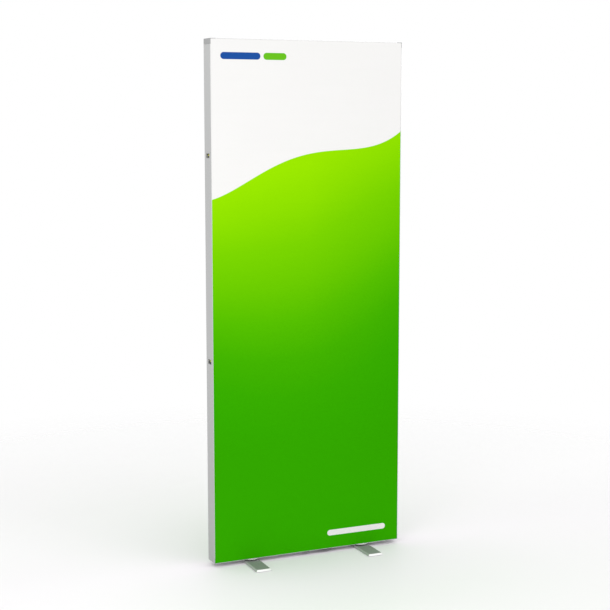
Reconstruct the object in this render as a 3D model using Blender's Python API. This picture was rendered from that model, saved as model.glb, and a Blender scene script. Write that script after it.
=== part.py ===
"""Free-standing, double-sided tension-fabric display frame on two swivel feet.

Metres, +Z up. The origin is on the floor, at the middle of the footprint, and the front faces -Y.
The frame is an aluminium profile with a groove along each face. A silicone edge sewn to the fabric is
pressed into the groove and pulls the fabric tight.
"""

import math

import bmesh
import bpy
from mathutils import Vector

# Frame
WIDTH = 0.795
HEIGHT = 2.000
DEPTH = 0.0705
LIFT = 0.016  # the bottom rail's underside above the floor

# Profile, seen along its length: u runs inwards from the outer face, v through the depth
PROFILE = 0.021
WEB = 0.0016  # outer web, which is the lip round the fabric
GROOVE_WIDE = 0.0036
GROOVE_DEEP = 0.0145
GROOVE_WALL = 0.0018
SEAT = 0.0024  # the groove's inner wall stands this far behind the lip
FLOOR_WEB = 0.0020
INNER_WALL = 0.0020
CHAMBER_HALF = DEPTH / 2 - GROOVE_DEEP - FLOOR_WEB

GAP = 0.0003  # between pieces that touch

# Uprights come in three lengths
SEAMS = (0.800, 1.581)  # above the bottom rail's underside
WINDOW_BELOW_SEAM = 0.013
WINDOW_WIDE, WINDOW_HIGH, WINDOW_ROUND = 0.0320, 0.0172, 0.0025
SPLICE_LONG, SPLICE_WALL = 0.150, 0.0020
LOCK_V, LOCK_UP = 0.001, 0.0025  # its axis: through the depth, and above the window's middle
LOCK_SHAFT = 0.004
LOCK_HEAD = (0.014, 0.006)
LOCK_HEAD_AT = (0.0043, 0.0083)
LOCK_TIP = 0.0206

# Corners
LEG_THICK, LEG_LONG = 0.009, 0.060
GRUB_AT, GRUB_R = 0.052, 0.003

# Crossbar
BAR_Z = 1.000
BAR_HIGH, BAR_DEEP, BAR_WALL = 0.030, 0.020, 0.002

# Feet
FOOT_X = 0.2394
PAD_THICK = 0.0012
FOOT_BASE, FOOT_LAND, FOOT_TOP = 0.0015, 0.0023, 0.0085
FOOT_HALF_WIDE, FOOT_HALF_LONG = 0.0322, 0.1573
FOOT_BEVEL_SIDE, FOOT_BEVEL_END = 0.0055, 0.0068
FOOT_SAG = 0.0026
WASHER_R, WASHER_BASE, WASHER_TOP = 0.024, 0.0088, 0.0136
DISC_R, DISC_BASE, DISC_TOP = 0.033, 0.0139, 0.0157
PIVOT_Y = -0.0095  # the pivots are a little nearer the front
PIVOT_R, PIVOT_HEAD_R = 0.0049, 0.0090

for old in list(bpy.data.objects):
    bpy.data.objects.remove(old, do_unlink=True)

FINISH = {
    "profile": ((0.560, 0.568, 0.565), 0.36, 1.0),
    "corner": ((0.400, 0.404, 0.404), 0.48, 1.0),
    "foot": ((0.520, 0.526, 0.522), 0.26, 1.0),
    "disc": ((0.780, 0.785, 0.785), 0.30, 1.0),
    "steel": ((0.450, 0.452, 0.456), 0.40, 1.0),
    "brass": ((0.700, 0.520, 0.110), 0.34, 1.0),
    "black": ((0.030, 0.030, 0.032), 0.55, 0.0),
    "rubber": ((0.018, 0.018, 0.019), 0.85, 0.0),
    "silicone": ((0.780, 0.780, 0.770), 0.50, 0.0),
    "fabric_front": ((0.060, 0.400, 0.004), 0.80, 0.0),
    "fabric_back": ((0.860, 0.860, 0.850), 0.80, 0.0),
}


def material(name, finish):
    colour, rough, metal = FINISH[finish]
    mat = bpy.data.materials.new(name)
    mat.use_nodes = True
    shader = mat.node_tree.nodes["Principled BSDF"]
    shader.inputs["Base Color"].default_value = (*colour, 1.0)
    shader.inputs["Roughness"].default_value = rough
    shader.inputs["Metallic"].default_value = metal
    return mat


def empty(name, at):
    made = bpy.data.objects.new(name, None)
    made.location = at
    made.empty_display_size = 0.03
    bpy.context.scene.collection.objects.link(made)
    return made


def to_object(name, bm, finish=None, origin=(0, 0, 0), parent=None, smooth=False):
    """An object whose mesh is where bm has it and whose own origin is at origin."""
    bmesh.ops.recalc_face_normals(bm, faces=bm.faces)
    bmesh.ops.translate(bm, verts=bm.verts, vec=-Vector(origin))
    mesh = bpy.data.meshes.new(name)
    bm.to_mesh(mesh)
    bm.free()
    if smooth:
        mesh.shade_smooth()
        mesh.set_sharp_from_angle(angle=math.radians(35))
    made = bpy.data.objects.new(name, mesh)
    bpy.context.scene.collection.objects.link(made)
    made.location = origin
    if parent is not None:
        made.parent = parent
        made.location = Vector(origin) - parent.location
    if finish is None:
        made.hide_render = True
        made.display_type = "WIRE"
    else:
        mesh.materials.append(material(name, finish))
    return made


def boolean(target, tool, operation="DIFFERENCE"):
    step = target.modifiers.new(operation.title(), "BOOLEAN")
    step.operation = operation
    step.solver = "EXACT"
    step.object = tool


def prism(bm, outline, a, b, place, holes=()):
    """Adds the solid that outline, a loop of (p, q) points less its holes, sweeps from a to b.
    place(p, q, r) gives the point in space."""
    edges = []
    for loop in (outline, *holes):
        ring = [bm.verts.new(place(p, q, a)) for p, q in loop]
        edges += [
            bm.edges.new((ring[i], ring[(i + 1) % len(ring)])) for i in range(len(ring))
        ]
    if holes:
        filled = bmesh.ops.triangle_fill(
            bm, use_beauty=True, use_dissolve=False, edges=edges
        )
        faces = [g for g in filled["geom"] if isinstance(g, bmesh.types.BMFace)]
    else:
        faces = [bm.faces.new(ring)]
    grown = bmesh.ops.extrude_face_region(bm, geom=faces)
    top = [g for g in grown["geom"] if isinstance(g, bmesh.types.BMVert)]
    move = Vector(place(0, 0, b)) - Vector(place(0, 0, a))
    bmesh.ops.translate(bm, verts=top, vec=move)
    return bm


def along_x(p, q, r):
    """(y, z) swept along X."""
    return (r, p, q)


def along_y(p, q, r):
    """(x, z) swept along Y."""
    return (p, r, q)


def along_z(p, q, r):
    """(x, y) swept along Z."""
    return (p, q, r)


def rectangle(p0, p1, q0, q1):
    return [(p0, q0), (p1, q0), (p1, q1), (p0, q1)]


def rounded(cp, cq, wide, high, radius, steps=4):
    """A rectangle with round corners."""
    points = []
    for k, (sp, sq) in enumerate(((1, 1), (-1, 1), (-1, -1), (1, -1))):
        for i in range(steps + 1):
            turn = math.radians(90) * (k + i / steps)
            points.append(
                (
                    cp + sp * (wide / 2 - radius) + radius * math.cos(turn),
                    cq + sq * (high / 2 - radius) + radius * math.sin(turn),
                )
            )
    return points


def circle(cp, cq, radius, steps=24):
    return [
        (
            cp + radius * math.cos(math.tau * i / steps),
            cq + radius * math.sin(math.tau * i / steps),
        )
        for i in range(steps)
    ]


def turned(bm, profile, centre, steps=32, closed=False):
    """A solid of revolution about the vertical through centre. profile is a list of (radius, height)."""
    rings = []
    for radius, height in profile:
        if radius < 1e-9:
            rings.append([bm.verts.new((centre[0], centre[1], height))])
        else:
            rings.append(
                [
                    bm.verts.new(
                        (
                            centre[0] + radius * math.cos(math.tau * i / steps),
                            centre[1] + radius * math.sin(math.tau * i / steps),
                            height,
                        )
                    )
                    for i in range(steps)
                ]
            )
    pairs = list(zip(rings, rings[1:]))
    if closed:
        pairs.append((rings[-1], rings[0]))
    for a, b in pairs:
        for i in range(steps):
            j = (i + 1) % steps
            corners = [a[i % len(a)], a[j % len(a)], b[j % len(b)], b[i % len(b)]]
            face = list(dict.fromkeys(corners))
            bm.faces.new(face)
    return bm


# The profile's outline and its chamber
def profile_outline():
    front, back = -DEPTH / 2, DEPTH / 2
    wall = WEB + GROOVE_WIDE
    half = [
        (0, front),
        (WEB, front),
        (WEB, front + GROOVE_DEEP),
        (wall, front + GROOVE_DEEP),
        (wall, front + SEAT),
        (wall + GROOVE_WALL, front + SEAT),
        (wall + GROOVE_WALL, front + GROOVE_DEEP),
        (PROFILE, front + GROOVE_DEEP),
    ]
    return half + [(u, -v) for u, v in reversed(half)]


def chamber_outline():
    return rectangle(WEB, PROFILE - INNER_WALL, -CHAMBER_HALF, CHAMBER_HALF)


BOTTOM, TOP = LIFT, LIFT + HEIGHT


def upright_place(side):
    """u inwards from the left (side -1) or right (side 1) outer face, swept along Z."""
    return lambda u, v, r: (side * (WIDTH / 2 - u), v, r)


def rail_place(level):
    """u inwards from the bottom (level -1) or top (level 1) outer face, swept along X."""
    if level < 0:
        return lambda u, v, r: (r, v, BOTTOM + u)
    return lambda u, v, r: (r, v, TOP - u)


def u_to_x(side, u):
    return side * (WIDTH / 2 - u)


frame = empty("frame_axis", (0, 0, 0))
SIDES = (("left", -1), ("right", 1))
LEVELS = (("bottom", -1), ("top", 1))

# Uprights, in three butted lengths each
cuts = (
    ("lower", BOTTOM + PROFILE + GAP, BOTTOM + SEAMS[0] - GAP / 2),
    ("middle", BOTTOM + SEAMS[0] + GAP / 2, BOTTOM + SEAMS[1] - GAP / 2),
    ("upper", BOTTOM + SEAMS[1] + GAP / 2, TOP - PROFILE - GAP),
)
for side_name, side in SIDES:
    for part, z0, z1 in cuts:
        bm = bmesh.new()
        prism(
            bm,
            profile_outline(),
            z0,
            z1,
            upright_place(side),
            holes=[chamber_outline()],
        )
        name = f"{side_name}_upright_{part}"
        upright = to_object(
            name, bm, "profile", (side * WIDTH / 2, 0, z0), frame
        )
        if part != "upper":
            window_z = z1 + GAP / 2 - WINDOW_BELOW_SEAM
            bm = bmesh.new()
            prism(
                bm,
                rounded(0, window_z, WINDOW_WIDE, WINDOW_HIGH, WINDOW_ROUND),
                u_to_x(side, -0.001),
                u_to_x(side, WEB + 0.0002),
                along_x,
            )
            boolean(upright, to_object(f"{name}_window_cutter", bm))
            bm = bmesh.new()
            prism(
                bm,
                circle(LOCK_V, window_z + LOCK_UP, LOCK_SHAFT + GAP),
                u_to_x(side, PROFILE - INNER_WALL - 0.0002),
                u_to_x(side, PROFILE + 0.001),
                along_x,
            )
            boolean(upright, to_object(f"{name}_lock_hole_cutter", bm))
        if part != "middle":
            grub_z = (BOTTOM + GRUB_AT) if part == "lower" else (TOP - GRUB_AT)
            bm = bmesh.new()
            prism(
                bm,
                circle(0, grub_z, GRUB_R + GAP, 20),
                u_to_x(side, PROFILE - INNER_WALL - 0.0002),
                u_to_x(side, PROFILE + 0.001),
                along_x,
            )
            boolean(upright, to_object(f"{name}_grub_hole_cutter", bm))
        if part == "middle":
            # tapped hole for the crossbar bracket's screw, and the hole for its peg
            for what, z, r in (("screw", 0.024, 0.0025), ("peg", -0.024, 0.003)):
                bm = bmesh.new()
                prism(
                    bm,
                    circle(0, BAR_Z + LIFT + z, r + GAP, 20),
                    u_to_x(side, PROFILE - INNER_WALL - 0.0002),
                    u_to_x(side, PROFILE + 0.001),
                    along_x,
                )
                boolean(upright, to_object(f"{name}_{what}_hole_cutter", bm))

# Splice bars, which join the lengths, and the quarter-turn locks behind the windows
for side_name, side in SIDES:
    for seam_name, seam in (("lower", SEAMS[0]), ("upper", SEAMS[1])):
        outer, inner = WEB + 0.0004, PROFILE - INNER_WALL - 0.0004
        half = CHAMBER_HALF - 0.0004
        centre = BOTTOM + seam
        bm = bmesh.new()
        prism(
            bm,
            rectangle(outer, inner, -half, half),
            centre - SPLICE_LONG / 2,
            centre + SPLICE_LONG / 2,
            upright_place(side),
            holes=[
                rectangle(
                    outer + SPLICE_WALL,
                    inner - SPLICE_WALL,
                    -half + SPLICE_WALL,
                    half - SPLICE_WALL,
                )
            ],
        )
        name = f"{side_name}_splice_{seam_name}"
        splice = to_object(name, bm, "steel", (side * WIDTH / 2, 0, centre), frame)
        window_z = centre - WINDOW_BELOW_SEAM
        bm = bmesh.new()
        prism(
            bm,
            rounded(
                0, window_z, WINDOW_WIDE + 0.002, WINDOW_HIGH + 0.002, WINDOW_ROUND
            ),
            u_to_x(side, outer - 0.001),
            u_to_x(side, outer + SPLICE_WALL + 0.0002),
            along_x,
        )
        boolean(splice, to_object(f"{name}_window_cutter", bm))
        bm = bmesh.new()
        prism(
            bm,
            circle(LOCK_V, window_z + LOCK_UP, LOCK_SHAFT + GAP),
            u_to_x(side, inner - SPLICE_WALL - 0.0002),
            u_to_x(side, inner + 0.001),
            along_x,
        )
        boolean(splice, to_object(f"{name}_lock_hole_cutter", bm))

        pivot = empty(
            f"{side_name}_lock_{seam_name}_axis",
            (u_to_x(side, LOCK_HEAD_AT[0]), LOCK_V, window_z + LOCK_UP),
        )
        bm = bmesh.new()
        prism(
            bm,
            rounded(LOCK_V, window_z + LOCK_UP, LOCK_HEAD[0], LOCK_HEAD[1], 0.002, 3),
            u_to_x(side, LOCK_HEAD_AT[0]),
            u_to_x(side, LOCK_HEAD_AT[1]),
            along_x,
        )
        name = f"{side_name}_lock_{seam_name}"
        lock = to_object(name, bm, "brass", pivot.location, pivot, smooth=True)
        bm = bmesh.new()
        prism(
            bm,
            circle(LOCK_V, window_z + LOCK_UP, LOCK_SHAFT),
            u_to_x(side, LOCK_HEAD_AT[1] - 0.002),
            u_to_x(side, LOCK_TIP),
            along_x,
        )
        boolean(lock, to_object(f"{name}_shaft", bm), "UNION")

# Rails
for level_name, level in LEVELS:
    x0, x1 = -WIDTH / 2 + PROFILE + GAP, WIDTH / 2 - PROFILE - GAP
    bm = bmesh.new()
    prism(bm, profile_outline(), x0, x1, rail_place(level), holes=[chamber_outline()])
    z_face = BOTTOM if level < 0 else TOP
    rail = to_object(f"{level_name}_rail", bm, "profile", (0, 0, z_face), frame)
    at = rail_place(level)
    for side_name, side in SIDES:
        bm = bmesh.new()
        prism(
            bm,
            circle(side * (WIDTH / 2 - GRUB_AT), 0, GRUB_R + GAP, 20),
            at(PROFILE - INNER_WALL - 0.0002, 0, 0)[2],
            at(PROFILE + 0.001, 0, 0)[2],
            along_z,
        )
        boolean(rail, to_object(f"{level_name}_rail_{side_name}_grub_cutter", bm))
    if level < 0:
        for side_name, side in SIDES:
            bm = bmesh.new()
            prism(
                bm,
                circle(side * FOOT_X, PIVOT_Y, PIVOT_R + GAP),
                BOTTOM - 0.001,
                BOTTOM + WEB + 0.0002,
                along_z,
            )
            boolean(rail, to_object(f"bottom_rail_{side_name}_pivot_cutter", bm))

# Corner blocks: the grooves turn the corner in them, and a leg enters each profile
for level_name, level in LEVELS:
    for side_name, side in SIDES:

        def place(p, q, r, side=side, level=level):
            z = BOTTOM + q if level < 0 else TOP - q
            return (side * (WIDTH / 2 - p), r, z)

        name = f"corner_{level_name}_{side_name}"
        corner = place(0, 0, 0)
        bm = bmesh.new()
        prism(
            bm, rectangle(0, PROFILE, 0, PROFILE), -DEPTH / 2, DEPTH / 2, place
        )
        made = to_object(name, bm, "corner", corner, frame)
        far = PROFILE + 0.001
        recess = bmesh.new()
        groove = bmesh.new()
        for face in (-1, 1):
            skin = face * (DEPTH / 2 + 0.001)
            prism(
                recess,
                rectangle(WEB, far, WEB, far),
                skin,
                face * (DEPTH / 2 - SEAT),
                place,
            )
            wall = WEB + GROOVE_WIDE
            prism(
                groove,
                [(WEB, WEB), (far, WEB), (far, wall), (wall, wall), (wall, far), (WEB, far)],
                skin,
                face * (DEPTH / 2 - GROOVE_DEEP),
                place,
            )
        boolean(made, to_object(f"{name}_seat_cutter", recess))
        boolean(made, to_object(f"{name}_groove_cutter", groove))
        legs = bmesh.new()
        near, thick, half = WEB + 0.00035, LEG_THICK, CHAMBER_HALF - 0.0004
        root, tip = PROFILE - 0.004, PROFILE + LEG_LONG
        prism(legs, rectangle(near, near + thick, root, tip), -half, half, place)
        prism(legs, rectangle(root, tip, near, near + thick), -half, half, place)
        boolean(made, to_object(f"{name}_legs", legs), "UNION")

        # Locking screws, with a hexagon socket, through the profiles' inner walls
        bearing = near + thick + GAP
        for into in ("upright", "rail"):
            if into == "upright":
                z = place(0, GRUB_AT, 0)[2]

                def screw_place(p, q, r, side=side, z=z):
                    return (side * (WIDTH / 2 - r), p, z + q)

                where = screw_place(0, 0, bearing)
            else:
                x = place(GRUB_AT, 0, 0)[0]

                def screw_place(p, q, r, x=x, level=level):
                    return (x + p, q, BOTTOM + r if level < 0 else TOP - r)

                where = screw_place(0, 0, bearing)
            bm = bmesh.new()
            prism(bm, circle(0, 0, GRUB_R, 20), bearing, PROFILE + 0.0005, screw_place)
            name = f"grub_screw_{level_name}_{side_name}_{into}"
            grub = to_object(name, bm, "steel", where, frame, smooth=True)
            bm = bmesh.new()
            prism(
                bm,
                circle(0, 0, 0.0018, 6),
                PROFILE - 0.003,
                PROFILE + 0.002,
                screw_place,
            )
            boolean(grub, to_object(f"{name}_socket_cutter", bm))

# Crossbar between the uprights, with a bracket at each end
bar_z = BAR_Z + LIFT
plate = (PROFILE + GAP, PROFILE + 0.0033)
bar_end = WIDTH / 2 - plate[1] - GAP
bm = bmesh.new()
prism(
    bm,
    rectangle(-BAR_DEEP / 2, BAR_DEEP / 2, bar_z - BAR_HIGH / 2, bar_z + BAR_HIGH / 2),
    -bar_end,
    bar_end,
    along_x,
    holes=[
        rectangle(
            -BAR_DEEP / 2 + BAR_WALL,
            BAR_DEEP / 2 - BAR_WALL,
            bar_z - BAR_HIGH / 2 + BAR_WALL,
            bar_z + BAR_HIGH / 2 - BAR_WALL,
        )
    ],
)
to_object("crossbar", bm, "profile", (0, 0, bar_z), frame)
for side_name, side in SIDES:
    bm = bmesh.new()
    prism(
        bm,
        rounded(0, bar_z, 0.030, 0.064, 0.004, 3),
        u_to_x(side, plate[0]),
        u_to_x(side, plate[1]),
        along_x,
    )
    name = f"crossbar_bracket_{side_name}"
    bracket = to_object(
        name, bm, "corner", (u_to_x(side, plate[0]), 0, bar_z), frame
    )
    bm = bmesh.new()
    prism(
        bm,
        rectangle(
            -BAR_DEEP / 2 + BAR_WALL + GAP,
            BAR_DEEP / 2 - BAR_WALL - GAP,
            bar_z - BAR_HIGH / 2 + BAR_WALL + GAP,
            bar_z + BAR_HIGH / 2 - BAR_WALL - GAP,
        ),
        u_to_x(side, plate[1] - 0.001),
        u_to_x(side, plate[1] + 0.040),
        along_x,
    )
    prism(
        bm,
        circle(0, bar_z - 0.024, 0.003, 20),
        u_to_x(side, PROFILE - INNER_WALL),
        u_to_x(side, plate[0] + 0.001),
        along_x,
    )
    boolean(bracket, to_object(f"{name}_tongue", bm), "UNION")
    bm = bmesh.new()
    prism(
        bm,
        circle(0, bar_z + 0.024, 0.0025 + GAP, 20),
        u_to_x(side, plate[0] - 0.001),
        u_to_x(side, plate[1] + 0.001),
        along_x,
    )
    boolean(bracket, to_object(f"{name}_hole_cutter", bm))
    bm = bmesh.new()
    prism(
        bm,
        circle(0, bar_z + 0.024, 0.0046),
        u_to_x(side, plate[1] + GAP),
        u_to_x(side, plate[1] + GAP + 0.003),
        along_x,
    )
    name = f"crossbar_screw_{side_name}"
    screw = to_object(
        name, bm, "steel", (u_to_x(side, plate[1]), 0, bar_z + 0.024), frame, smooth=True
    )
    bm = bmesh.new()
    prism(
        bm,
        circle(0, bar_z + 0.024, 0.0025, 20),
        u_to_x(side, plate[1] + GAP + 0.001),
        u_to_x(side, PROFILE - INNER_WALL - 0.004),
        along_x,
    )
    boolean(screw, to_object(f"{name}_shank", bm), "UNION")
    bm = bmesh.new()
    prism(
        bm,
        circle(0, bar_z + 0.024, 0.0018, 6),
        u_to_x(side, plate[1] + GAP + 0.0012),
        u_to_x(side, plate[1] + GAP + 0.004),
        along_x,
    )
    boolean(screw, to_object(f"{name}_socket_cutter", bm))

# Fabric and the silicone edges sewn to it
for face_name, face in (("front", -1), ("back", 1)):
    skin = face * (DEPTH / 2 - 0.0012)
    under = face * (DEPTH / 2 - SEAT + GAP)
    x = WIDTH / 2 - WEB - GAP
    z0, z1 = BOTTOM + WEB + GAP, TOP - WEB - GAP
    bm = bmesh.new()
    prism(bm, rectangle(-x, x, z0, z1), skin, under, along_y)
    to_object(
        f"{face_name}_fabric", bm, f"fabric_{face_name}", (0, skin, 1.0), frame
    )
    y0, y1 = face * (DEPTH / 2 - SEAT), face * (DEPTH / 2 - GROOVE_DEEP + GAP)
    thick = 0.003
    for side_name, side in SIDES:
        a, b = sorted((side * x, side * (x - thick)))
        bm = bmesh.new()
        prism(bm, rectangle(a, b, z0, z1), y0, y1, along_y)
        to_object(
            f"{face_name}_edge_{side_name}", bm, "silicone", (side * x, y0, 1.0), frame
        )
    for level_name, level in LEVELS:
        z_outer = z0 if level < 0 else z1
        a, b = sorted((z_outer, z_outer - level * thick))
        bm = bmesh.new()
        inner = x - thick - GAP
        prism(bm, rectangle(-inner, inner, a, b), y0, y1, along_y)
        to_object(
            f"{face_name}_edge_{level_name}", bm, "silicone", (0, y0, z_outer), frame
        )


# Feet
def foot_outline(half_wide, half_long, sag, steps=10):
    """A long rectangle whose ends bow outwards by sag."""
    front = []
    for i in range(steps + 1):
        x = half_wide * (1 - 2 * i / steps)
        front.append((x, -(half_long - sag * (x / half_wide) ** 2)))
    return front + [(-x, -y) for x, y in front]


for side_name, side in SIDES:
    cx = side * FOOT_X
    pivot = empty(f"{side_name}_foot_axis", (cx, PIVOT_Y, 0))
    bm = bmesh.new()
    rings = []
    for height, bevel in ((FOOT_BASE, 0), (FOOT_LAND, 0), (FOOT_TOP, 1)):
        rings.append(
            [
                bm.verts.new((cx + x, y, height))
                for x, y in foot_outline(
                    FOOT_HALF_WIDE - bevel * FOOT_BEVEL_SIDE,
                    FOOT_HALF_LONG - bevel * FOOT_BEVEL_END,
                    FOOT_SAG,
                )
            ]
        )
    n = len(rings[0])
    for a, b in zip(rings, rings[1:]):
        for i in range(n):
            bm.faces.new((a[i], a[(i + 1) % n], b[(i + 1) % n], b[i]))
    bm.faces.new(rings[0])
    bm.faces.new(rings[-1])
    name = f"{side_name}_foot"
    foot = to_object(name, bm, "foot", pivot.location, pivot)
    bm = turned(
        bmesh.new(),
        [
            (0, FOOT_BASE - 0.001),
            (PIVOT_HEAD_R + GAP, FOOT_BASE - 0.001),
            (PIVOT_HEAD_R + GAP, FOOT_BASE + 0.0008),
            (PIVOT_R + GAP, FOOT_BASE + 0.0048),
            (PIVOT_R + GAP, FOOT_TOP + 0.001),
            (0, FOOT_TOP + 0.001),
        ],
        (cx, PIVOT_Y),
    )
    boolean(foot, to_object(f"{name}_screw_cutter", bm))

    # Pads under its ends
    for end_name, end in (("front", -1), ("rear", 1)):
        bm = bmesh.new()
        a, b = sorted((end * 0.096, end * 0.148))
        prism(
            bm,
            rounded(cx, (a + b) / 2, 0.044, b - a, 0.006, 4),
            0,
            PAD_THICK,
            along_z,
        )
        to_object(
            f"{side_name}_foot_pad_{end_name}", bm, "rubber", pivot.location, pivot
        )

    # Washer that the foot turns on, and the disc above it
    bm = turned(
        bmesh.new(),
        [
            (PIVOT_R + GAP, WASHER_BASE),
            (WASHER_R - 0.0006, WASHER_BASE),
            (WASHER_R, WASHER_BASE + 0.0006),
            (WASHER_R, WASHER_TOP),
            (PIVOT_R + GAP, WASHER_TOP),
        ],
        (cx, PIVOT_Y),
        steps=40,
        closed=True,
    )
    to_object(
        f"{side_name}_swivel_washer",
        bm,
        "black",
        (cx, PIVOT_Y, WASHER_BASE),
        frame,
        smooth=True,
    )
    bm = turned(
        bmesh.new(),
        [
            (PIVOT_R + GAP, DISC_BASE),
            (DISC_R, DISC_BASE),
            (DISC_R, DISC_TOP - 0.0005),
            (DISC_R - 0.0005, DISC_TOP),
            (PIVOT_R + GAP, DISC_TOP),
        ],
        (cx, PIVOT_Y),
        steps=48,
        closed=True,
    )
    to_object(
        f"{side_name}_swivel_disc",
        bm,
        "disc",
        (cx, PIVOT_Y, DISC_BASE),
        frame,
        smooth=True,
    )

    # Countersunk pivot screw, and the nut plate that it turns in
    bm = turned(
        bmesh.new(),
        [
            (0, FOOT_BASE + 0.0004),
            (PIVOT_HEAD_R, FOOT_BASE + 0.0004),
            (PIVOT_HEAD_R, FOOT_BASE + 0.0007),
            (PIVOT_R, FOOT_BASE + 0.0047),
            (PIVOT_R, BOTTOM + WEB + 0.0120),
            (PIVOT_R - 0.0008, BOTTOM + WEB + 0.0128),
            (0, BOTTOM + WEB + 0.0128),
        ],
        (cx, PIVOT_Y),
    )
    name = f"{side_name}_pivot_screw"
    screw = to_object(name, bm, "steel", (cx, PIVOT_Y, FOOT_BASE), frame, smooth=True)
    bm = bmesh.new()
    prism(bm, circle(cx, PIVOT_Y, 0.0032, 6), FOOT_BASE - 0.001, FOOT_BASE + 0.0036, along_z)
    boolean(screw, to_object(f"{name}_socket_cutter", bm))

    bm = bmesh.new()
    prism(
        bm,
        rounded(cx, PIVOT_Y, 0.060, 0.018, 0.003, 3),
        BOTTOM + WEB + GAP,
        BOTTOM + WEB + GAP + 0.006,
        along_z,
        holes=[circle(cx, PIVOT_Y, PIVOT_R + GAP)],
    )
    to_object(
        f"{side_name}_nut_plate", bm, "steel", (cx, PIVOT_Y, BOTTOM + WEB + GAP), frame
    )

# Short block under the middle of the bottom rail, and the shallow oval cover beside it
BUFFER_X, BUFFER_WIDE, BUFFER_FRONT, BUFFER_DEEP, BUFFER_HIGH = -0.0062, 0.022, -0.0340, 0.044, 0.0036
bm = bmesh.new()
prism(
    bm,
    rounded(
        BUFFER_X, BUFFER_FRONT + BUFFER_DEEP / 2, BUFFER_WIDE, BUFFER_DEEP, 0.002, 3
    ),
    BOTTOM - GAP - BUFFER_HIGH,
    BOTTOM - GAP,
    along_z,
)
to_object("centre_buffer", bm, "black", (BUFFER_X, 0, BOTTOM), frame)

COVER_X, COVER_Y, COVER_HALF_LONG, COVER_HALF_WIDE, COVER_DEEP = 0.079, -0.006, 0.046, 0.029, 0.0060
bm = bmesh.new()
rings = []
steps = 40
for share, depth in ((1.0, 0.0), (1.0, 0.0024), (0.95, 0.0040), (0.80, 0.0053), (0.45, COVER_DEEP)):
    rings.append(
        [
            bm.verts.new(
                (
                    COVER_X + share * COVER_HALF_LONG * math.cos(math.tau * i / steps),
                    COVER_Y + share * COVER_HALF_WIDE * math.sin(math.tau * i / steps),
                    BOTTOM - GAP - depth,
                )
            )
            for i in range(steps)
        ]
    )
for a, b in zip(rings, rings[1:]):
    for i in range(steps):
        bm.faces.new((a[i], a[(i + 1) % steps], b[(i + 1) % steps], b[i]))
bm.faces.new(rings[0])
bm.faces.new(rings[-1])
to_object("cable_outlet_cover", bm, "black", (COVER_X, 0, BOTTOM - GAP), frame, smooth=True)
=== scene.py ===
"""Looks for the double-sided tension-fabric display frame. Units are metres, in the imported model's own frame."""

import math

import bpy
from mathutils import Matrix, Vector


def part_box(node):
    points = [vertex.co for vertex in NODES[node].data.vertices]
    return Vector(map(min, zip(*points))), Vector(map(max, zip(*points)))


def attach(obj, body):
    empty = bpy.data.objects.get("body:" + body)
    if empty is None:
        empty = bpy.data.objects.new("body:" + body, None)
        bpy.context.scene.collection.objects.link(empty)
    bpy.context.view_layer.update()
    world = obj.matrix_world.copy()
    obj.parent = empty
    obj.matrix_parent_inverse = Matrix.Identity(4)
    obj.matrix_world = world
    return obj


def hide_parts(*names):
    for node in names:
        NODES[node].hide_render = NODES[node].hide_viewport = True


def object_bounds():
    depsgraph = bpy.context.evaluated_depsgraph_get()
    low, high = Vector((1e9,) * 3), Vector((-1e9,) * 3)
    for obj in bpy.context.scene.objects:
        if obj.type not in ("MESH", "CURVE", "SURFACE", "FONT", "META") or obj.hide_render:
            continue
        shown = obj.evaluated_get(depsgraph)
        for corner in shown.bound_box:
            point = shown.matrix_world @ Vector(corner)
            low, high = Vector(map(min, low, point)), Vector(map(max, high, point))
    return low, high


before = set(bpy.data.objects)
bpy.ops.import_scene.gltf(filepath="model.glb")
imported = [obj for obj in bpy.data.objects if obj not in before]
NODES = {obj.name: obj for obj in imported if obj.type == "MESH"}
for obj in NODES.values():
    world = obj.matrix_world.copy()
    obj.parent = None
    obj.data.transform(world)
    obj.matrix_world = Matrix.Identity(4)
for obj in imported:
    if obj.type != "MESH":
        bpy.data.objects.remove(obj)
CAD_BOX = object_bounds()
SCENE = bpy.context.scene

STEEL = "zinc_steel"
PIVOT = sum(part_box("right_swivel_disc"), Vector()) / 2


# ---------------------------------------------------------------- node graphs


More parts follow.
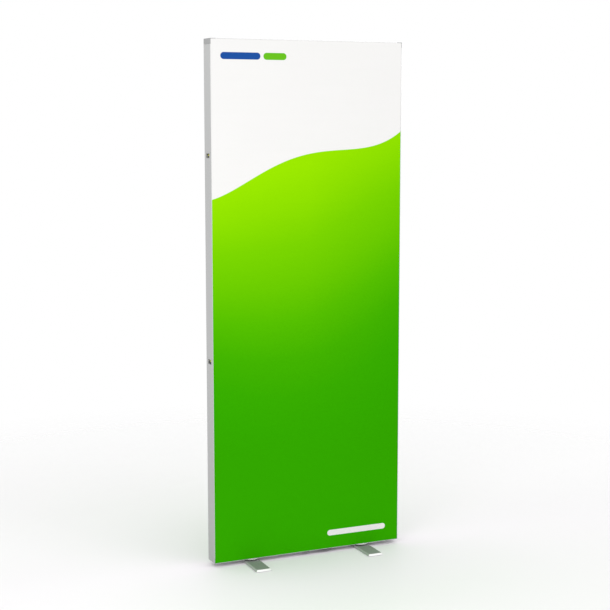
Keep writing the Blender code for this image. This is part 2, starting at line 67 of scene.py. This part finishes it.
class Graph:
    """A material's nodes, with short calls for the ones that are used here."""

    def __init__(self, name):
        self.mat = bpy.data.materials.new(name)
        self.mat.use_nodes = True
        self.tree = self.mat.node_tree
        self.tree.nodes.clear()
        self.out = self.tree.nodes.new("ShaderNodeOutputMaterial")
        self.bsdf = self.tree.nodes.new("ShaderNodeBsdfPrincipled")
        self.tree.links.new(self.bsdf.outputs[0], self.out.inputs["Surface"])
        self.place = self.tree.nodes.new("ShaderNodeTexCoord").outputs["Object"]
        self._axes = None

    def set(self, **values):
        """Numbers and colours that are the same all over, on the shader's own sockets."""
        for k, v in values.items():
            self.bsdf.inputs[k.replace("_", " ")].default_value = v
        return self

    def put(self, socket, value):
        """A value on an input: a link from a socket, or a plain number."""
        if isinstance(value, bpy.types.NodeSocket):
            self.tree.links.new(value, socket)
        else:
            socket.default_value = value

    def axes(self):
        if self._axes is None:
            n = self.tree.nodes.new("ShaderNodeSeparateXYZ")
            self.put(n.inputs[0], self.place)
            self._axes = n.outputs
        return self._axes

    def math(self, op, a, b=0.0, c=0.0, clamp=False):
        n = self.tree.nodes.new("ShaderNodeMath")
        n.operation = op
        n.use_clamp = clamp
        for i, v in enumerate((a, b, c)):
            self.put(n.inputs[i], v)
        return n.outputs[0]

    def add(self, a, b):
        return self.math("ADD", a, b)

    def mul(self, a, b):
        return self.math("MULTIPLY", a, b)

    def poly(self, x, coefficients):
        """c0 + c1 x + c2 x^2 + ... by Horner's rule."""
        total = coefficients[-1]
        for c in reversed(coefficients[:-1]):
            total = self.math("MULTIPLY_ADD", x, total, c)
        return total

    def stretch(self, scale, at=None):
        n = self.tree.nodes.new("ShaderNodeMapping")
        self.put(n.inputs["Vector"], at or self.place)
        n.inputs["Scale"].default_value = scale
        return n.outputs[0]

    def noise(self, scale=(1, 1, 1), detail=2.0, rough=0.5, distortion=0.0):
        n = self.tree.nodes.new("ShaderNodeTexNoise")
        self.put(n.inputs["Vector"], self.stretch(scale))
        n.inputs["Scale"].default_value = 1.0
        n.inputs["Detail"].default_value = detail
        n.inputs["Roughness"].default_value = rough
        n.inputs["Distortion"].default_value = distortion
        return n.outputs["Fac"]

    def cells(self, scale=(1, 1, 1), feature="F1"):
        n = self.tree.nodes.new("ShaderNodeTexVoronoi")
        n.feature = feature
        self.put(n.inputs["Vector"], self.stretch(scale))
        n.inputs["Scale"].default_value = 1.0
        return n.outputs["Distance"]

    def span(self, value, low, high, to_low, to_high):
        n = self.tree.nodes.new("ShaderNodeMapRange")
        for name, v in (("Value", value), ("From Min", low), ("From Max", high), ("To Min", to_low), ("To Max", to_high)):
            self.put(n.inputs[name], v)
        return n.outputs[0]

    def ramp(self, value, stops):
        """A colour ramp through (position, linear rgb) stops."""
        n = self.tree.nodes.new("ShaderNodeValToRGB")
        self.put(n.inputs[0], value)
        e = n.color_ramp.elements
        while len(e) < len(stops):
            e.new(0.5)
        for element, (at, rgb) in zip(e, stops):
            element.position = at
            element.color = (*rgb, 1.0)
        return n.outputs[0]

    def mix(self, factor, a, b, blend="MIX"):
        n = self.tree.nodes.new("ShaderNodeMix")
        n.data_type = "RGBA"
        n.blend_type = blend
        n.clamp_factor = True
        ins = [s for s in n.inputs if s.enabled]
        for s, v in zip(ins, (factor, a, b)):
            if isinstance(v, tuple):
                v = (*v, 1.0) if len(v) == 3 else v
            self.put(s, v)
        return [s for s in n.outputs if s.enabled][0]

    def tint(self, colour, factor, low, high):
        """colour times a number that goes from low to high with factor."""
        f = self.span(factor, 0.0, 1.0, low, high)
        n = self.tree.nodes.new("ShaderNodeVectorMath")
        n.operation = "SCALE"
        if isinstance(colour, tuple):
            n.inputs[0].default_value = colour
        else:
            self.put(n.inputs[0], colour)
        self.put(n.inputs["Scale"], f)
        return n.outputs[0]

    def bump(self, height, strength, distance, after=None):
        n = self.tree.nodes.new("ShaderNodeBump")
        n.inputs["Strength"].default_value = strength
        n.inputs["Distance"].default_value = distance
        self.put(n.inputs["Height"], height)
        if after is not None:
            self.put(n.inputs["Normal"], after)
        return n.outputs[0]

    def finish(self, colour=None, rough=None, normal=None):
        if colour is not None:
            self.put(self.bsdf.inputs["Base Color"], colour)
        if rough is not None:
            self.put(self.bsdf.inputs["Roughness"], rough)
        if normal is not None:
            self.put(self.bsdf.inputs["Normal"], normal)
        return self.mat


def linear(r, g, b):
    """An 8-bit display colour as linear light."""
    return tuple(((c / 255 + 0.055) / 1.055) ** 2.4 if c > 10.3 else c / 255 / 12.92 for c in (r, g, b))


# ---------------------------------------------------------------- finishes


def anodised(name, along, base=(0.512, 0.517, 0.515), lip_highlight=(0.70, 0.705, 0.70)):
    """Satin anodised extrusion: faint die lines along its length, slow changes of tone, and the lips round the cloth,
    which face front and back, painted paler as a painted highlight.
    """
    g = Graph(name).set(Metallic=1.0)

    def lines(across, length, detail):
        scale = [across, across, across]
        scale[along] = length
        return g.noise(tuple(scale), detail)

    fine = lines(1900, 9, 3.0)
    wide = lines(260, 0.8, 2.0)
    cloud = g.noise((7, 7, 7), 2.0)
    speck = g.noise((2600, 2600, 2600), 1.0)
    facing = g.tree.nodes.new("ShaderNodeSeparateXYZ")
    g.put(facing.inputs[0], g.tree.nodes.new("ShaderNodeTexCoord").outputs["Normal"])
    # painted highlight: faces turned to the front and back, the lips round the cloth, take the paler colour
    colour = g.mix(g.span(g.math("ABSOLUTE", facing.outputs[1]), 0.6, 0.8, 0.0, 1.0), base, lip_highlight)
    # painted shade: the metal is painted up to 9% darker towards the floor, for the darker floor it reflects there
    colour = g.tint(colour, g.span(g.axes()[2], 0.35, 1.8, 0.0, 1.0), 0.91, 1.0)
    colour = g.tint(colour, fine, 0.965, 1.035)
    colour = g.tint(colour, wide, 0.96, 1.04)
    colour = g.tint(colour, cloud, 0.975, 1.025)
    rough = g.add(g.span(fine, 0.3, 0.7, 0.33, 0.43), g.span(cloud, 0.3, 0.7, -0.02, 0.03))
    normal = g.bump(g.add(g.mul(fine, 0.8), g.mul(speck, 0.35)), 0.12, 0.00006)
    return g.finish(colour, rough, normal)


def cast_corner():
    """Grey cast and tumbled block: fine pits, soft mottling and a few rubs."""
    g = Graph("corner_casting").set(Metallic=1.0)
    grain = g.noise((1500, 1500, 1500), 4.0, 0.6)
    pits = g.cells((900, 900, 900))
    mottle = g.noise((55, 55, 55), 3.0)
    rub = g.span(g.noise((30, 30, 210), 4.0, 0.65, 0.4), 0.60, 0.72, 0.0, 1.0)
    # painted shade: the same casting is painted darker at the top corners than at the bottom ones
    height = g.span(g.axes()[2], 0.3, 1.8, 0.0, 1.0)
    colour = g.mix(height, (0.49, 0.495, 0.495), (0.39, 0.395, 0.395))
    colour = g.tint(colour, mottle, 0.93, 1.07)
    colour = g.tint(colour, grain, 0.95, 1.05)
    colour = g.mix(g.mul(rub, 0.25), colour, (0.56, 0.565, 0.565))
    rough = g.math("SUBTRACT", g.span(grain, 0.3, 0.7, 0.46, 0.58), g.mul(rub, 0.1))
    normal = g.bump(g.add(g.mul(grain, 0.7), g.span(pits, 0.0, 0.5, -0.3, 0.0)), 0.22, 0.00012)
    return g.finish(colour, rough, normal)


def brushed_foot():
    """Flat bar brushed along its length, with its left-facing bevel and its ends painted lighter as painted
    highlights.
    """
    g = Graph("foot_brushed").set(**{"Specular_IOR_Level": 0.3})
    hair = g.noise((2400, 11, 2400), 3.0)
    wide = g.noise((380, 1.6, 380), 2.0)
    smear = g.noise((22, 9, 22), 3.0)
    turn = g.tree.nodes.new("ShaderNodeTexCoord").outputs["Normal"]
    facing = g.tree.nodes.new("ShaderNodeSeparateXYZ")
    g.put(facing.inputs[0], turn)
    # painted highlight: faces turned to the left are painted lighter
    side = g.span(facing.outputs[0], -0.6, -0.3, 1.0, 0.0)
    # painted highlight: faces turned to the ends are painted near white
    painted_end_highlight = g.span(g.math("ABSOLUTE", facing.outputs[1]), 0.3, 0.6, 0.0, 1.0)
    colour = g.tint((0.30, 0.305, 0.30), hair, 0.93, 1.07)
    colour = g.tint(colour, wide, 0.95, 1.05)
    colour = g.mix(side, colour, (0.46, 0.465, 0.46))
    colour = g.mix(painted_end_highlight, colour, (0.93, 0.93, 0.925))
    rough = g.add(g.span(hair, 0.3, 0.7, 0.46, 0.58), g.span(smear, 0.35, 0.65, -0.02, 0.05))
    rough = g.math("SUBTRACT", rough, g.mul(painted_end_highlight, 0.22))
    g.put(g.bsdf.inputs["Metallic"], g.span(painted_end_highlight, 0.0, 1.0, 0.30, 1.0))
    normal = g.bump(g.add(hair, g.mul(wide, 0.4)), 0.16, 0.00005)
    return g.finish(colour, rough, normal)


def turned_disc():
    """Bright face-turned disc: fine rings about each disc's own centre."""
    g = Graph("disc_turned").set(Metallic=1.0)
    x, y, _ = g.axes()
    dx = g.math("SUBTRACT", g.math("ABSOLUTE", x), PIVOT.x)
    dy = g.math("SUBTRACT", y, PIVOT.y)
    r = g.math("SQRT", g.add(g.mul(dx, dx), g.mul(dy, dy)))
    rings = g.math("SINE", g.mul(r, 2 * math.pi / 0.00042))
    drift = g.noise((140, 140, 140), 2.0)
    rings = g.add(rings, g.span(drift, 0.3, 0.7, -0.6, 0.6))
    colour = g.tint((0.82, 0.825, 0.825), drift, 0.95, 1.04)
    rough = g.span(rings, -1.6, 1.6, 0.15, 0.26)
    return g.finish(colour, rough, g.bump(rings, 0.12, 0.00003))


def zinc():
    """Zinc-plated steel: cool, with a soft spangle."""
    g = Graph(STEEL).set(Metallic=1.0)
    spangle = g.cells((330, 330, 330))
    fine = g.noise((1700, 1700, 1700), 3.0)
    colour = g.mix(g.span(spangle, 0.1, 0.7, 0.0, 1.0), (0.60, 0.615, 0.64), (0.70, 0.70, 0.69))
    colour = g.tint(colour, fine, 0.95, 1.04)
    rough = g.add(g.span(fine, 0.3, 0.7, 0.26, 0.38), g.span(spangle, 0.0, 0.7, -0.03, 0.04))
    return g.finish(colour, rough, g.bump(fine, 0.15, 0.00005))


def brass():
    """Machined yellow brass, a little tarnished in patches."""
    g = Graph("lock_brass").set(Metallic=1.0)
    x, y, z = g.axes()
    fine = g.noise((420, 3300, 3300), 3.0)
    patina = g.noise((160, 160, 160), 3.0, 0.6)
    colour = g.mix(g.span(patina, 0.35, 0.7, 0.0, 0.55), (0.57, 0.53, 0.022), (0.41, 0.37, 0.025))
    colour = g.tint(colour, fine, 0.94, 1.05)
    rough = g.add(g.span(fine, 0.3, 0.7, 0.22, 0.34), g.span(patina, 0.3, 0.7, 0.0, 0.08))
    return g.finish(colour, rough, g.bump(fine, 0.15, 0.00005))


def moulded_black():
    """Black moulded plastic with a fine spark-eroded texture."""
    g = Graph("black_plastic").set(**{"Specular_IOR_Level": 0.45})
    pebble = g.cells((1250, 1250, 1250))
    cloud = g.noise((60, 60, 60), 2.0)
    colour = g.tint((0.028, 0.028, 0.030), cloud, 0.85, 1.15)
    rough = g.span(pebble, 0.0, 0.7, 0.40, 0.56)
    return g.finish(colour, rough, g.bump(pebble, 0.25, 0.00010))


def rubber():
    """Matt black rubber with dust in its grain."""
    g = Graph("pad_rubber").set(**{"Specular_IOR_Level": 0.3})
    grain = g.noise((900, 900, 900), 4.0, 0.65)
    dust = g.span(g.noise((90, 90, 90), 3.0), 0.5, 0.75, 0.0, 0.5)
    colour = g.mix(dust, (0.022, 0.022, 0.022), (0.085, 0.083, 0.078))
    return g.finish(colour, g.span(grain, 0.3, 0.7, 0.72, 0.88), g.bump(grain, 0.3, 0.00012))


def silicone():
    """Milky silicone strip, with a fine grain."""
    g = Graph("silicone_edge").set(**{"Specular_IOR_Level": 0.4, "Subsurface_Weight": 0.3, "Subsurface_Scale": 0.002})
    grain = g.noise((700, 700, 700), 3.0)
    haze = g.noise((40, 40, 40), 2.0)
    colour = g.tint((0.80, 0.80, 0.77), haze, 0.95, 1.03)
    return g.finish(colour, g.span(grain, 0.3, 0.7, 0.32, 0.46), g.bump(grain, 0.12, 0.00006))


WAVE = (1.58376, 0.18975, -0.84511, 1.00155, 3.72731, -1.23166)
GREEN_AT = (0.0, 0.3, 0.5, 0.65, 0.8, 0.95, 1.1, 1.25, 1.4, 1.55, 1.75)
GREEN_R = (51, 51.8, 52.8, 56.5, 66.8, 84.7, 106.6, 121.4, 141, 154.2, 153.1)
GREEN_G = (165.9, 167.5, 170.5, 173, 179.2, 190.2, 202.2, 211.1, 222.4, 230.7, 229.3)
W_LOW, W_HIGH = -0.30, 1.75
PRINT_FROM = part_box("bottom_rail")[0].z - 0.012  # the print's heights were set out on a frame that starts 12 mm up


def printed(name, mirror, k=0.81, paper=(0.743, 0.737, 0.728)):
    """Dye-printed warp knit: white over a green wave, with two plain bars of ink at the top and one at the foot."""
    g = Graph(name).set(**{"Specular_IOR_Level": 0.0})
    x, y, z = g.axes()
    z = g.math("SUBTRACT", z, PRINT_FROM)
    if mirror:
        x = g.mul(x, -1.0)

    # the white ground and the green field with its slow fade
    w = g.add(z, g.mul(x, 0.16916))
    w = g.add(w, g.mul(g.mul(x, x), -1.60053))
    w = g.add(w, g.mul(g.mul(x, z), -0.50694))
    w = g.add(w, g.mul(g.mul(g.mul(x, x), z), 1.17652))
    w = g.add(w, g.mul(g.mul(g.math("MINIMUM", x, 0.0), g.math("MAXIMUM", g.add(z, -0.65), 0.0)), 0.45))
    at = g.span(w, W_LOW, W_HIGH, 0.0, 1.0)
    stops = [((a - W_LOW) / (W_HIGH - W_LOW), tuple(c * k for c in linear(r, gg, 1.0))) for a, r, gg in zip(GREEN_AT, GREEN_R, GREEN_G)]
    green = g.tint(g.ramp(at, stops), g.span(z, 0.10, 0.45, 0.0, 1.0), 1.08, 1.0)
    edge = g.poly(x, WAVE)
    over = g.span(g.math("SUBTRACT", z, edge), -0.0004, 0.0004, 0.0, 1.0)
    ink = g.mix(over, green, paper)

    def bar(x0, x1, z0, z1):
        """1 inside a bar with round ends, 0 outside."""
        half = (z1 - z0) / 2
        run = max((x1 - x0) / 2 - half, 0.0)
        dx = g.math("ABSOLUTE", g.math("SUBTRACT", x, (x0 + x1) / 2))
        dx = g.math("MAXIMUM", g.math("SUBTRACT", dx, run), 0.0)
        dz = g.math("SUBTRACT", z, (z0 + z1) / 2)
        d = g.math("SQRT", g.add(g.mul(dx, dx), g.mul(dz, dz)))
        return g.span(d, half - 0.0003, half + 0.0003, 1.0, 0.0)

    ink = g.mix(bar(-0.358, -0.198, 1.9360, 1.9620), ink, linear(30, 74, 146))
    ink = g.mix(bar(-0.186, -0.092, 1.9360, 1.9620), ink, linear(96, 176, 30))
    ink = g.mix(bar(0.082, 0.340, 0.0640, 0.0870), ink, paper)

    # the knit: wales along Z at 0.62 mm, courses along X at 0.50 mm, staggered
    kx, kz = 2 * math.pi / 0.00062, 2 * math.pi / 0.00050
    wander = g.span(g.noise((60, 60, 60), 1.0), 0.0, 1.0, -0.5, 0.5)
    wale = g.math("SINE", g.add(g.mul(x, kx), wander))
    course = g.math("SINE", g.add(g.mul(z, kz), wander))
    stagger = g.mul(wale, course)
    knit = g.add(g.add(g.mul(wale, 0.55), g.mul(course, 0.25)), g.mul(stagger, 0.45))
    fuzz = g.noise((5200, 5200, 5200), 2.0, 0.6)
    knit = g.add(knit, g.mul(fuzz, 0.5))
    slub = g.noise((3.2, 3.2, 42), 3.0)
    haze = g.noise((5, 5, 5), 2.0)
    ink = g.tint(ink, g.span(knit, -1.0, 1.4, 0.0, 1.0), 0.965, 1.025)
    ink = g.tint(ink, slub, 0.990, 1.010)
    ink = g.tint(ink, haze, 0.992, 1.008)
    rough = g.span(knit, -1.0, 1.4, 0.74, 0.60)
    normal = g.bump(knit, 0.30, 0.00007)
    normal = g.bump(g.noise((26, 26, 26), 2.0), 0.05, 0.0004, after=normal)
    return g.finish(ink, rough, normal)


# ---------------------------------------------------------------- the metal and plastic parts

FINISH = {
    "upright": anodised("aluminium_upright", 2),
    "rail": anodised("aluminium_rail", 0),
    "corner": cast_corner(),
    "foot": brushed_foot(),
    "disc": turned_disc(),
    "zinc": zinc(),
    "brass": brass(),
    "black": moulded_black(),
    "rubber": rubber(),
    "silicone": silicone(),
}


def finish_of(name):
    if "grub_screw" in name or "crossbar_screw" in name:
        return "zinc", 0.00012
    if "upright" in name:
        return "upright", 0.00022
    if "rail" in name or name == "crossbar":
        return "rail", 0.00022
    if name.startswith("corner_") or "bracket" in name:
        return "corner", 0.00030
    if "pad" in name:
        return "rubber", 0.00020
    if name.endswith("_foot"):
        return "foot", 0.00035
    if "disc" in name:
        return "disc", 0.00025
    if "lock" in name:
        return "brass", 0.00025
    if "splice" in name or "screw" in name or "nut" in name:
        return "zinc", 0.00025
    if "edge" in name:
        return "silicone", 0.00025
    return "black", 0.00035


def dress(name, o):
    """Welds the loaded mesh, breaks its sharp edges a little, and gives it its finish."""
    finish, width = finish_of(name)
    me = o.data
    for a in ("custom_normal", "sharp_face", "sharp_edge"):
        if a in me.attributes:
            me.attributes.remove(me.attributes[a])
    me.polygons.foreach_set("use_smooth", [True] * len(me.polygons))
    weld = o.modifiers.new("weld", "WELD")
    weld.merge_threshold = 2e-6
    flat = o.modifiers.new("flat", "DECIMATE")
    flat.decimate_type = "DISSOLVE"
    flat.angle_limit = math.radians(0.5)
    bevel = o.modifiers.new("edge", "BEVEL")
    bevel.width = width
    bevel.segments = 2
    bevel.limit_method = "ANGLE"
    bevel.angle_limit = math.radians(28)
    bevel.harden_normals = True
    bevel.use_clamp_overlap = True
    me.materials.clear()
    me.materials.append(FINISH[finish])


for node_name, node in NODES.items():
    if node_name in ("front_fabric", "back_fabric"):
        continue
    dress(node_name, node)


# ---------------------------------------------------------------- the two printed sheets

THICK = 0.0002  # the cloth
FOLD = 0.0005  # the radius of its turn into the groove
CORNER = 0.0030  # the radius of its corners, seen from the front
DEEP = 0.0135  # how far its hem reaches below the lip's front
IN_GROOVE = 0.00174  # the hem's own line, from the frame's outer edge
UNDER_LIP = 0.0005  # how far the face lies behind the lip's front

low, high = CAD_BOX
frame_low = Vector([min(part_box(n)[0][i] for n in ("bottom_rail", "corner_bottom_left", "corner_top_right")) for i in range(3)])
frame_high = Vector([max(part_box(n)[1][i] for n in ("top_rail", "corner_top_right", "corner_bottom_left")) for i in range(3)])
HALF_W = (frame_high.x - frame_low.x) / 2
MID_Z = (frame_high.z + frame_low.z) / 2
HALF_H = (frame_high.z - frame_low.z) / 2
FACE = (frame_high.y - frame_low.y) / 2


def spaced(half, corner, step):
    """Grid lines from -half to half: close ones across each rounded corner, even ones between."""
    near = [half - corner * t for t in (0.0, 0.25, 0.5, 0.75, 1.0)]
    inner = half - corner
    n = max(2, round(2 * inner / step))
    middle = [-inner + 2 * inner * i / n for i in range(1, n)]
    return [-v for v in near] + middle + near[::-1]


def stretched_sheet(name, side):
    """One continuous cloth: flat across the frame, turned through a small fold into the groove on all four sides."""
    a, b = HALF_W - IN_GROOVE - FOLD, HALF_H - IN_GROOVE - FOLD
    r = CORNER - FOLD
    xs, zs = spaced(a, r, 0.013), spaced(b, r, 0.013)
    face = FACE - UNDER_LIP - THICK / 2

    def rounded(x, z):
        cx, cz = a - r, b - r
        if abs(x) > cx and abs(z) > cz:
            u, v = (abs(x) - cx) / r, (abs(z) - cz) / r
            u, v = u * math.sqrt(1 - v * v / 2), v * math.sqrt(1 - u * u / 2)
            x = math.copysign(cx + r * u, x)
            z = math.copysign(cz + r * v, z)
        return x, z

    def slack(x, z):
        """The little that a stretched cloth still moves: long, shallow draws along the edges."""
        ex, ez = (a - abs(x)) / 0.045, (b - abs(z)) / 0.045
        draw = math.sin(z * 61 + 1.3 * math.sin(z * 17)) * math.exp(-ex * ex) + math.sin(x * 57 + 1.1 * math.sin(x * 23)) * math.exp(-ez * ez)
        hold = min(1.0, (a - abs(x)) / 0.006) * min(1.0, (b - abs(z)) / 0.006)
        return 0.00009 * draw * max(hold, 0.0)

    verts, faces = [], []
    for z in zs:
        for x in xs:
            px, pz = rounded(x, z)
            verts.append((px, -(face - abs(slack(x, z))), pz))
    nx, nz = len(xs), len(zs)
    for j in range(nz - 1):
        for i in range(nx - 1):
            k = j * nx + i
            faces.append((k, k + 1, k + nx + 1, k + nx))
    rim = [i for i in range(nx)] + [j * nx + nx - 1 for j in range(1, nz)]
    rim += [(nz - 1) * nx + i for i in range(nx - 2, -1, -1)] + [j * nx for j in range(nz - 2, 0, -1)]

    def outward(p):
        cx, cz = a - r, b - r
        dx = max(abs(p[0]) - cx, 0.0) * math.copysign(1, p[0])
        dz = max(abs(p[2]) - cz, 0.0) * math.copysign(1, p[2])
        d = math.hypot(dx, dz)
        return dx / d, dz / d

    base = [(verts[i], outward(verts[i])) for i in rim]
    profile = [(FOLD * math.sin(t), FOLD * (1 - math.cos(t))) for t in [math.radians(15 * s) for s in range(1, 7)]]
    bottom = DEEP - UNDER_LIP - THICK / 2
    profile += [(FOLD, FOLD + (bottom - FOLD) * s / 5) for s in range(1, 6)]
    before = rim
    for out, down in profile:
        ring = []
        for (px, py, pz), (dx, dz) in base:
            ring.append(len(verts))
            verts.append((px + dx * out, py + down, pz + dz * out))
        n = len(rim)
        for i in range(n):
            j = (i + 1) % n
            faces.append((before[i], ring[i], ring[j], before[j]))
        before = ring
    # (x, -y, z) is built for the front; the back is turned half round the Z axis
    if side > 0:
        verts = [(-x, -y, z) for x, y, z in verts]
    verts = [(x, y, z + MID_Z) for x, y, z in verts]
    me = bpy.data.meshes.new(name)
    me.from_pydata(verts, [], faces)
    me.polygons.foreach_set("use_smooth", [True] * len(me.polygons))
    me.update()
    o = bpy.data.objects.new(name, me)
    SCENE.collection.objects.link(o)
    solid = o.modifiers.new("cloth", "SOLIDIFY")
    solid.thickness = THICK
    solid.offset = 0.0
    solid.use_even_offset = False
    turn = 2 * (math.pi / 2 * FOLD + bottom - FOLD)
    return o, (2 * a + turn, 2 * b + turn)


for face_name, side in (("front", -1), ("back", 1)):
    cloth, flat = stretched_sheet(f"{face_name}_graphic", side)
    cloth.data.materials.append(printed(f"fabric_{face_name}", side > 0))
    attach(cloth, "frame")
    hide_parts(f"{face_name}_fabric")


# ---------------------------------------------------------------- floor, light and camera


def studio_floor():
    """A pale matt floor, with painted light and shade about the frame, that fades into the backdrop's white."""
    rings, spokes, radius = 24, 96, 9.0
    verts, faces = [(0.0, 0.0, 0.0)], []
    for i in range(1, rings + 1):
        r = radius * (i / rings) ** 1.7
        for s in range(spokes):
            t = 2 * math.pi * s / spokes
            verts.append((r * math.cos(t), r * math.sin(t), 0.0))
    for s in range(spokes):
        faces.append((0, 1 + s, 1 + (s + 1) % spokes))
    for i in range(rings - 1):
        k = 1 + i * spokes
        for s in range(spokes):
            n = (s + 1) % spokes
            faces.append((k + s, k + spokes + s, k + spokes + n, k + n))
    me = bpy.data.meshes.new("studio_floor")
    me.from_pydata(verts, [], faces)
    me.update()
    o = bpy.data.objects.new("studio_floor", me)
    SCENE.collection.objects.link(o)
    g = Graph("studio_floor").set(Roughness=0.55, **{"Specular_IOR_Level": 0.15})
    x, y, _ = g.axes()
    r = g.math("SQRT", g.add(g.mul(x, x), g.mul(y, y)))
    mottle = g.noise((3, 3, 3), 3.0)
    # painted light: round the frame the floor is painted paler and pinker, against the frame's shade and the green
    # the cloth bounces onto it
    dx, dy = g.mul(x, 1 / 0.44), g.mul(g.add(y, 0.20), 1 / 0.30)
    near = g.math("SQRT", g.add(g.mul(dx, dx), g.mul(dy, dy)))

    def smooth(value, low, high):
        n = g.tree.nodes.new("ShaderNodeMapRange")
        n.interpolation_type = "SMOOTHSTEP"
        for socket, v in (("Value", value), ("From Min", low), ("From Max", high)):
            g.put(n.inputs[socket], v)
        return n.outputs[0]

    floor = g.mix(smooth(near, 0.1, 1.7), (0.935, 0.872, 0.945), (0.864, 0.858, 0.862))
    # painted light and shade: the floor is painted 2% darker in front of the frame and up to 3.6% lighter behind it
    floor = g.tint(floor, smooth(y, 0.0, 0.85), 0.980, 1.036)
    g.put(g.bsdf.inputs["Base Color"], g.tint(floor, mottle, 0.996, 1.004))
    clear = g.tree.nodes.new("ShaderNodeBsdfTransparent")
    both = g.tree.nodes.new("ShaderNodeMixShader")
    g.put(both.inputs[0], g.span(r, 1.2, 3.0, 0.0, 1.0))
    g.put(both.inputs[1], g.bsdf.outputs[0])
    g.put(both.inputs[2], clear.outputs[0])
    g.put(g.out.inputs["Surface"], both.outputs[0])
    me.materials.append(g.mat)
    return o


def area(name, at, towards, size, power, colour=(1, 1, 1)):
    light = bpy.data.lights.new(name, "AREA")
    light.shape = "RECTANGLE"
    light.size, light.size_y = size
    light.energy = power
    light.color = colour
    o = bpy.data.objects.new(name, light)
    o.location = at
    o.rotation_euler = (Vector(towards) - Vector(at)).to_track_quat("-Z", "Y").to_euler()
    SCENE.collection.objects.link(o)
    return o


studio_floor()

world = bpy.data.worlds.new("studio")
world.use_nodes = True
world.node_tree.nodes["Background"].inputs["Color"].default_value = (1.0, 1.0, 1.0, 1.0)
world.node_tree.nodes["Background"].inputs["Strength"].default_value = 1.0
SCENE.world = world

area("key_right", (2.5, -3.5, 3.0), (0.0, 0.0, 0.8), (2.5, 2.5), 31.5)
area("key_left", (-2.5, -3.5, 3.0), (0.0, 0.0, 0.8), (2.5, 2.5), 3.5)
area("near_left", (-1.5, -1.6, 1.3), (-0.2, 0.0, 1.0), (0.8, 1.6), 9.4)
area("above", (0.0, -2.0, 4.0), (0.0, 0.0, 0.3), (2.0, 2.0), 5.4)
area("back_right", (2.5, 3.0, 3.5), (0.0, 0.0, 0.5), (2.0, 2.0), 2.3)
area("high_left", (-1.7, 1.3, 2.5), (-0.4, 0.0, 1.7), (0.7, 0.7), 1.4)

camera_data = bpy.data.cameras.new("camera")
camera_data.lens = 81.784
camera_data.sensor_width = 36.0
camera_data.clip_end = 60.0
camera = bpy.data.objects.new("camera", camera_data)
camera.location = (-2.18078, -4.90425, 1.72539)
camera.rotation_euler = (math.radians(90 - 7.6989), 0.0, math.radians(-23.9699))
SCENE.collection.objects.link(camera)
SCENE.camera = camera

SCENE.view_settings.view_transform = "Standard"
SCENE.view_settings.look = "None"
SCENE.view_settings.exposure = 0.0
SCENE.view_settings.gamma = 1.0

bpy.context.view_layer.update()
